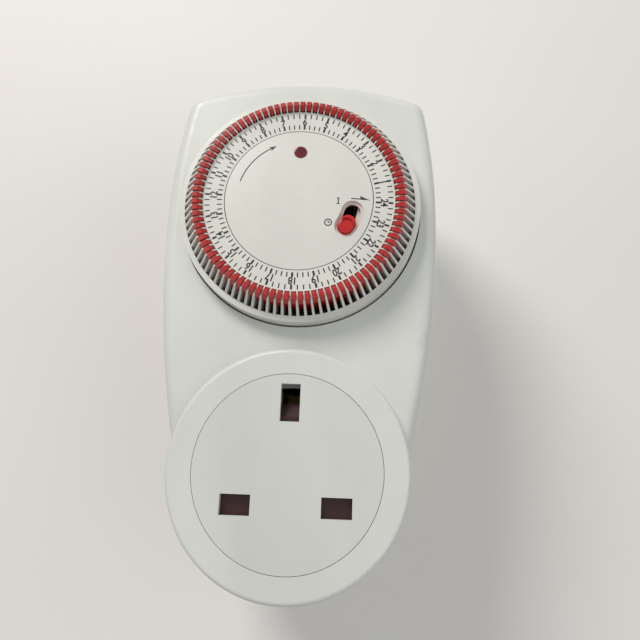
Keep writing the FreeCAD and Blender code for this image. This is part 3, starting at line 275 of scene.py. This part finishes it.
def metal(name, colour, roughness, stretch=(1, 1, 1)):
    """Drawn or rolled metal, with its grain along one axis and a little tarnish."""
    m = Material(name, colour, roughness, 1.0)
    tarnish = m.noise(TARNISH_SCALE, 5.0)
    m.set_colour(m.blend(m.spread(tarnish, 0.0, 0.6, 0.4, 0.75), colour, tinted(colour, TARNISH_SHADE)))
    line = m.noise(DRAWN_SCALE, 4.0, stretch)
    m.set_roughness(m.spread(line, roughness - 0.07, roughness + 0.12))
    m.bump(line, DRAWN_DEPTH, DRAWN_STRENGTH)
    return m


def wound(name, colour):
    """Enamelled wire laid in close turns, with painted shade in the grooves between turns and a painted
    highlight along each turn's crest.
    """
    m = Material(name, colour, 0.3, 0.8)
    depth = m.axis("Y")
    turns = m.math("SINE", m.math("MULTIPLY", depth, 2 * math.pi / (WIRE_PITCH * MM)))
    # Painted shade and highlight: darker in the grooves between turns, lighter on their crests.
    m.set_colour(m.blend(m.spread(turns, 0.0, 1.0, -1.0, 1.0), tinted(colour, 0.5), tinted(colour, 1.2)))
    m.bump(turns, 0.00006, 0.8)
    return m


def glass(name, colour, roughness):
    """Clear glass with a slight haze."""
    m = Material(name, colour, roughness, 0.0, 1.47)
    m.shader.inputs["Transmission Weight"].default_value = 0.85
    haze = m.noise(300.0)
    m.set_roughness(m.spread(haze, roughness, roughness + 0.08))
    return m


def even_crown(m, x, z, radius):
    """Shades the middle of a crowned face by the crown's own curve."""
    curve = m.nodes.new("ShaderNodeCombineXYZ")
    curve.inputs["Y"].default_value = -CROWN_RADIUS * MM
    m.links.new(x, curve.inputs["X"])
    m.links.new(z, curve.inputs["Z"])
    turned = m.nodes.new("ShaderNodeVectorTransform")
    turned.vector_type = "NORMAL"
    turned.convert_from = "OBJECT"
    turned.convert_to = "WORLD"
    m.links.new(curve.outputs["Vector"], turned.inputs["Vector"])
    mix = m.nodes.new("ShaderNodeMix")
    mix.data_type = "VECTOR"
    sockets = {s.name: s for s in mix.inputs if s.type == "VECTOR"}
    low, high = CROWN_MIDDLE
    m.links.new(m.spread(radius, 1.0, 0.0, low * MM, high * MM), mix.inputs["Factor"])
    m.links.new(m.nodes.new("ShaderNodeNewGeometry").outputs["Normal"], sockets["A"])
    m.links.new(turned.outputs["Vector"], sockets["B"])
    shade = [s for s in mix.outputs if s.type == "VECTOR"][0]
    m.links.new(shade, m.shader.inputs["Normal"].links[0].from_node.inputs["Normal"])


def recessed_disc(name, colour):
    """The white disc, with a painted reflection: a faint pink in the slide's recess, standing in for light
    bounced off the red plastic.
    """
    m = moulded(name, colour, 0.34)
    x = m.axis("X")
    z = m.math("SUBTRACT", m.axis("Z"), DIAL_HEIGHT * MM)
    radius = m.math("SQRT", m.math("ADD", m.math("MULTIPLY", x, x), m.math("MULTIPLY", z, z)))
    angle = m.math("ARCTAN2", z, x)
    middle = math.radians(sum(KNOB_ANGLES) / 2)
    half = math.radians((KNOB_ANGLES[1] - KNOB_ANGLES[0]) / 2)
    off_middle = m.math("ABSOLUTE", m.math("SUBTRACT", angle, middle))
    beyond = m.math("MAXIMUM", m.math("SUBTRACT", off_middle, half), 0.0)
    along = m.math("MULTIPLY", beyond, KNOB_ARC_RADIUS * MM)
    across = m.math("SUBTRACT", radius, KNOB_ARC_RADIUS * MM)
    squares = m.math("ADD", m.math("MULTIPLY", along, along), m.math("MULTIPLY", across, across))
    reach = m.math("SQRT", squares)
    # Painted reflection: pink is blended in near the slot, standing in for red light bounced off the knob.
    near = m.spread(reach, 1.0, 0.0, KNOB_RADIUS * MM, (KNOB_RADIUS + PAINTED_RED_BOUNCE_REACH) * MM)
    even_crown(m, x, z, radius)
    plain = m.shader.inputs["Base Color"].links[0].from_socket
    m.set_colour(m.blend(m.math("MULTIPLY", near, PAINTED_RED_BOUNCE_SHARE), plain, linear(*PAINTED_RED_BOUNCE)))
    return m


def lens_material(name, colour):
    """A dark red lens, its red varying a little at random."""
    m = Material(name, colour, 0.12, 0.0, 1.49)
    m.shader.inputs["Transmission Weight"].default_value = 0.1
    m.shader.inputs["Coat Weight"].default_value = 0.2
    ripple = m.noise(700.0, 2.0)
    m.set_colour(m.blend(m.spread(ripple, 0.0, 1.0), tinted(colour, 0.6), tinted(colour, 1.5)))
    m.bump(m.noise(500.0, 2.0), 0.00002, 0.4)
    return m


def ink(name):
    """Black printing ink, a little worn."""
    m = Material(name, linear(24, 28, 27), 0.45)
    worn = m.noise(1800.0, 4.0)
    m.set_colour(m.blend(m.spread(worn, 0.0, 0.5, 0.45, 0.8), linear(20, 24, 23), linear(52, 58, 56)))
    m.set_roughness(m.spread(m.noise(900.0), 0.35, 0.6))
    return m


WHITE = linear(212, 213, 207)
DIAL_WHITE = linear(214, 213, 205)
RED = linear(176, 20, 14)
BRASS = (0.72, 0.52, 0.22, 1.0)
STEEL = (0.58, 0.59, 0.60, 1.0)

MATERIALS = {
    "white_casing": casing_plastic("white_casing", WHITE),
    "white_dial": moulded("white_dial", DIAL_WHITE, 0.36),
    "socket_white": moulded("socket_white", linear(208, 209, 202), 0.4),
    "red_tab": translucent_red("red_tab", RED, 0.3),
    "red_knob": translucent_red("red_knob", linear(190, 14, 16), 0.25, 0.0),
    "red_lens": lens_material("red_lens", linear(104, 5, 16)),
    # The shutter is dark red plastic, set darker still as painted shade from the socket slots in front of
    # it.
    "red_shutter": moulded("red_shutter", linear(50, 12, 16), 0.4),
    "brass": metal("brass", BRASS, 0.28, (1.0, 0.08, 1.0)),
    "spring_bronze": metal("spring_bronze", (0.66, 0.42, 0.22, 1.0), 0.3, (1.0, 1.0, 0.08)),
    "contact_silver": metal("contact_silver", (0.78, 0.78, 0.78, 1.0), 0.25),
    "zinc_steel": metal("zinc_steel", STEEL, 0.35),
    "spring_steel": metal("spring_steel", (0.5, 0.5, 0.52, 1.0), 0.3),
    "sleeve_black": moulded("sleeve_black", linear(28, 28, 30), 0.45),
    "carrier_plastic": moulded("carrier_plastic", linear(214, 210, 196), 0.5),
    "nylon": moulded("nylon", linear(226, 222, 208), 0.45),
    "ferrite": moulded("ferrite", linear(58, 58, 62), 0.5),
    "bobbin_plastic": moulded("bobbin_plastic", linear(40, 74, 58), 0.45),
    "copper_wire": wound("copper_wire", (0.6, 0.24, 0.1, 1.0)),
    "lamp_glass": glass("lamp_glass", (0.95, 0.85, 0.78, 1.0), 0.05),
    "resistor_body": moulded("resistor_body", linear(206, 184, 140), 0.4),
    "lead_blue": moulded("lead_blue", linear(38, 74, 160), 0.4),
    "lead_brown": moulded("lead_brown", linear(96, 56, 36), 0.4),
}
SPECIAL = {
    "centre_disc": recessed_disc("centre_disc_white", DIAL_WHITE).material,
    "earth_contact": metal("tarnished_brass", (0.2, 0.14, 0.07, 1.0), 0.42, (1.0, 0.08, 1.0)).material,
}
INK = ink("printing_ink").material


def dress_cad():
    """Gives every CAD node the material of its slot."""
    slots = {row["node"]: row["material_slot"] for row in frame["record"]["subparts"]}
    for node, obj in frame["nodes"].items():
        material = SPECIAL.get(node) or MATERIALS[slots[node]].material
        obj.data.materials.clear()
        obj.data.materials.append(material)


def surface_depth(node, x, z):
    """How far along Y the front of a node lies, in metres, at a place given in millimetres."""
    obj = frame["nodes"][node]
    hit, where, _, _ = obj.ray_cast(Vector((x * MM, RAY_START, z * MM)), Vector((0, 1, 0)))
    return where.y if hit else None


def ink_piece(name, outlines, node, body):
    """Thin printed shapes that follow a node's front. Each outline is a convex loop of (x, z)."""
    verts = []
    faces = []
    for loop in outlines:
        first = len(verts)
        count = len(loop)
        for lift in (-INK_STEP, INK_DEPTH - INK_STEP):
            for x, z in loop:
                y = surface_depth(node, x, z)
                verts.append((x * MM, y + lift * MM, z * MM))
        faces.append([first + i for i in range(count)])
        faces.append([first + count + i for i in reversed(range(count))])
        for i in range(count):
            j = (i + 1) % count
            faces.append([first + j, first + i, first + count + i, first + count + j])
    mesh = bpy.data.meshes.new(name)
    mesh.from_pydata(verts, [], faces)
    mesh.update()
    return finish_piece(name, mesh, body)


def finish_piece(name, mesh, body):
    mesh.materials.append(INK)
    obj = bpy.data.objects.new(name, mesh)
    bpy.context.scene.collection.objects.link(obj)
    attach(obj, body)
    return obj


def polar(radius, angle, height=DIAL_HEIGHT):
    a = math.radians(angle)
    return (radius * math.cos(a), height + radius * math.sin(a))


def clockwise_frame(angle):
    """Outward and clockwise directions at an angle, in (x, z)."""
    a = math.radians(angle)
    return (math.cos(a), math.sin(a)), (math.sin(a), -math.cos(a))


def bar(inner, outer, angle, width):
    """A radial bar as a loop of four places."""
    out, side = clockwise_frame(angle)
    corners = ((inner, -1), (outer, -1), (outer, 1), (inner, 1))
    return [
        (out[0] * r + side[0] * s * width / 2, DIAL_HEIGHT + out[1] * r + side[1] * s * width / 2)
        for r, s in corners
    ]


def dial_ticks():
    loops = []
    for quarter in range(QUARTERS):
        angle = DIAL_REST_ANGLE + quarter * 360 / QUARTERS
        width = HOUR_TICK_WIDTH if quarter % 4 == 0 else TICK_WIDTH
        loops += [bar(inner, outer, angle, width) for inner, outer in (INNER_TICKS, OUTER_TICKS)]
    return ink_piece("dial_ticks", loops, "dial_drum", "dial")


def text_mesh(words):
    """Plain figures as a thin mesh in the XY plane, in millimetres."""
    curve = bpy.data.curves.new("figures", "FONT")
    curve.body = words
    curve.size = DIGIT_HEIGHT / CAPITAL_SHARE
    curve.align_x = "CENTER"
    curve.align_y = "CENTER"
    curve.offset = DIGIT_WEIGHT
    curve.resolution_u = DIGIT_STEPS
    curve.extrude = INK_DEPTH / 2
    curve.space_character = DIGIT_SPACING
    obj = bpy.data.objects.new("figures", curve)
    bpy.context.scene.collection.objects.link(obj)
    bpy.context.view_layer.update()
    mesh = bpy.data.meshes.new_from_object(obj.evaluated_get(bpy.context.evaluated_depsgraph_get()))
    bpy.data.objects.remove(obj)
    bpy.data.curves.remove(curve)
    return mesh


def centred(mesh):
    """The middle of a mesh's outline, to place it by its drawn shape."""
    xs = [v.co.x for v in mesh.vertices]
    ys = [v.co.y for v in mesh.vertices]
    return (min(xs) + max(xs)) / 2, (min(ys) + max(ys)) / 2


def dial_numbers():
    """The hours, 1 to 24, read from the middle with their tops outward."""
    verts = []
    faces = []
    x, z = polar(DIGIT_RADIUS, 0)
    level = surface_depth("dial_drum", x, z) / MM
    for hour in range(1, HOURS + 1):
        out, side = clockwise_frame(DIAL_REST_ANGLE + hour * 360 / HOURS)
        mesh = text_mesh(str(hour))
        mid_x, mid_y = centred(mesh)
        first = len(verts)
        for v in mesh.vertices:
            along = (v.co.x - mid_x) * DIGIT_SQUEEZE
            up = DIGIT_RADIUS + v.co.y - mid_y
            verts.append((
                (side[0] * along + out[0] * up) * MM,
                (level - v.co.z) * MM,
                (DIAL_HEIGHT + side[1] * along + out[1] * up) * MM,
            ))
        faces += [[first + i for i in p.vertices] for p in mesh.polygons]
        bpy.data.meshes.remove(mesh)
    mesh = bpy.data.meshes.new("dial_numbers")
    mesh.from_pydata(verts, [], faces)
    mesh.update()
    return finish_piece("dial_numbers", mesh, "dial")


def ring_loops(centre, inner, outer, start=0.0, end=360.0, steps=32):
    """A ring, or part of one, as four-sided loops."""
    loops = []
    for i in range(steps):
        a = start + (end - start) * i / steps
        b = start + (end - start) * (i + 1) / steps
        places = [polar(r, t, 0) for r, t in ((inner, a), (outer, a), (outer, b), (inner, b))]
        loops.append([(centre[0] + x, centre[1] + z) for x, z in places])
    return loops


def around_dial(places):
    return [(x, DIAL_HEIGHT + z) for x, z in places]


def box(x, z, half_x, half_z):
    """An upright rectangle around a place, as a loop."""
    return around_dial([
        (x - half_x, z - half_z), (x - half_x, z + half_z),
        (x + half_x, z + half_z), (x + half_x, z - half_z),
    ])


def direction_arrow():
    """The thin arrow that shows which way the dial turns."""
    half = ARROW_LINE / 2
    join = ARROW_END + ARROW_HEAD * ARROW_JOIN
    centre = (0, DIAL_HEIGHT)
    loops = ring_loops(centre, ARROW_RADIUS - half, ARROW_RADIUS + half, join, ARROW_START, ARROW_STEPS)
    tip = polar(ARROW_RADIUS, ARROW_END)
    barb_out = polar(ARROW_RADIUS + ARROW_BARB, ARROW_END + ARROW_HEAD)
    barb_in = polar(ARROW_RADIUS - ARROW_BARB, ARROW_END + ARROW_HEAD)
    notch = polar(ARROW_RADIUS, ARROW_END + ARROW_HEAD * ARROW_NOTCH)
    loops += [[tip, barb_out, notch], [tip, notch, barb_in]]
    return ink_piece("direction_arrow", loops, "centre_disc", "casing")


def time_pointer():
    """The half arrow at three o'clock that the hour is read against."""
    loops = [around_dial(POINTER_SHAFT), around_dial(POINTER_HEAD)]
    return ink_piece("time_pointer", loops, "centre_disc", "casing")


def on_mark():
    """The upright bar for on, with its two serifs."""
    x, z = ON_PLACE
    loops = [box(x, z, ON_HALF_STROKE, ON_HALF_HEIGHT)]
    loops += [box(x, z + side * ON_HALF_HEIGHT, *ON_HALF_SERIF) for side in (-1, 1)]
    return ink_piece("on_mark", loops, "centre_disc", "casing")


def clock_mark():
    """A small clock face: a ring and two hands."""
    x, z = CLOCK_PLACE
    loops = ring_loops((x, DIAL_HEIGHT + z), *CLOCK_RING)
    loops += [box(x + right, z + up, half_x, half_z) for right, up, half_x, half_z in CLOCK_HANDS]
    return ink_piece("clock_mark", loops, "centre_disc", "casing")


def stage_material():
    """A pale surface that is seen from its front and lets the light behind the timer through."""
    m = Material("pale_table", linear(228, 224, 219), 0.8)
    tone = m.noise(5.0, 3.0)
    m.set_colour(m.blend(m.spread(tone, 0.0, 1.0), linear(225, 220, 215), linear(232, 229, 225)))
    path = m.nodes.new("ShaderNodeLightPath")
    geometry = m.nodes.new("ShaderNodeNewGeometry")
    seen = m.math("MAXIMUM", path.outputs["Is Camera Ray"], path.outputs["Is Glossy Ray"])
    seen = m.math("MAXIMUM", seen, path.outputs["Is Transmission Ray"])
    front = m.math("SUBTRACT", 1.0, geometry.outputs["Backfacing"])
    clear = m.nodes.new("ShaderNodeBsdfTransparent")
    mix = m.nodes.new("ShaderNodeMixShader")
    m.links.new(m.math("MULTIPLY", seen, front), mix.inputs[0])
    m.links.new(clear.outputs[0], mix.inputs[1])
    m.links.new(m.shader.outputs[0], mix.inputs[2])
    m.links.new(mix.outputs[0], m.nodes["Material Output"].inputs["Surface"])
    return m.material


def add_backdrop():
    """The surface the timer lies over, just behind its pins."""
    back = CAD_BOX[1].y + BACKDROP_GAP * MM
    half = BACKDROP_SIZE * MM / 2
    mesh = bpy.data.meshes.new("table")
    corners = [(-half, back, -half), (half, back, -half), (half, back, half), (-half, back, half)]
    mesh.from_pydata(corners, [], [(0, 1, 2, 3)])
    mesh.materials.append(stage_material())
    obj = bpy.data.objects.new("table", mesh)
    bpy.context.scene.collection.objects.link(obj)


def area_lamp(name, place, size, power, colour):
    data = bpy.data.lights.new(name, "AREA")
    data.shape = "DISK"
    data.size = size
    data.energy = power
    data.color = colour
    obj = bpy.data.objects.new(name, data)
    obj.location = place
    obj.rotation_euler = (Vector(LAMP_TARGET) - Vector(place)).to_track_quat("-Z", "Y").to_euler()
    bpy.context.scene.collection.objects.link(obj)


def add_lights():
    for name, settings in LAMPS.items():
        area_lamp(name, *settings)
    world = bpy.data.worlds.new("studio")
    bpy.context.scene.world = world
    world.use_nodes = True
    nodes = world.node_tree.nodes
    links = world.node_tree.links
    light = nodes["Background"]
    light.inputs["Color"].default_value = WORLD_COLOUR
    light.inputs["Strength"].default_value = WORLD_STRENGTH
    seen = nodes.new("ShaderNodeBackground")
    seen.inputs["Color"].default_value = linear(*WORLD_SEEN)
    seen.inputs["Strength"].default_value = 1.0
    path = nodes.new("ShaderNodeLightPath")
    shown = path.outputs["Is Camera Ray"]
    for other in ("Is Glossy Ray", "Is Transmission Ray"):
        either = nodes.new("ShaderNodeMath")
        either.operation = "MAXIMUM"
        links.new(shown, either.inputs[0])
        links.new(path.outputs[other], either.inputs[1])
        shown = either.outputs[0]
    mix = nodes.new("ShaderNodeMixShader")
    links.new(shown, mix.inputs[0])
    links.new(light.outputs[0], mix.inputs[1])
    links.new(seen.outputs[0], mix.inputs[2])
    links.new(mix.outputs[0], nodes["World Output"].inputs["Surface"])


def add_camera():
    data = bpy.data.cameras.new("camera")
    data.lens = CAMERA_LENS
    data.sensor_width = SENSOR_WIDTH
    data.shift_y = CAMERA_SHIFT
    data.clip_start = CLIP_START
    obj = bpy.data.objects.new("camera", data)
    obj.location = [v * MM for v in CAMERA_PLACE]
    obj.rotation_euler = [math.radians(v) for v in CAMERA_TURN]
    bpy.context.scene.collection.objects.link(obj)
    bpy.context.scene.camera = obj


add_camera()
dress_cad()
dial_ticks()
dial_numbers()
direction_arrow()
time_pointer()
on_mark()
clock_mark()
add_backdrop()
add_lights()
bpy.context.scene.view_settings.view_transform = "Standard"
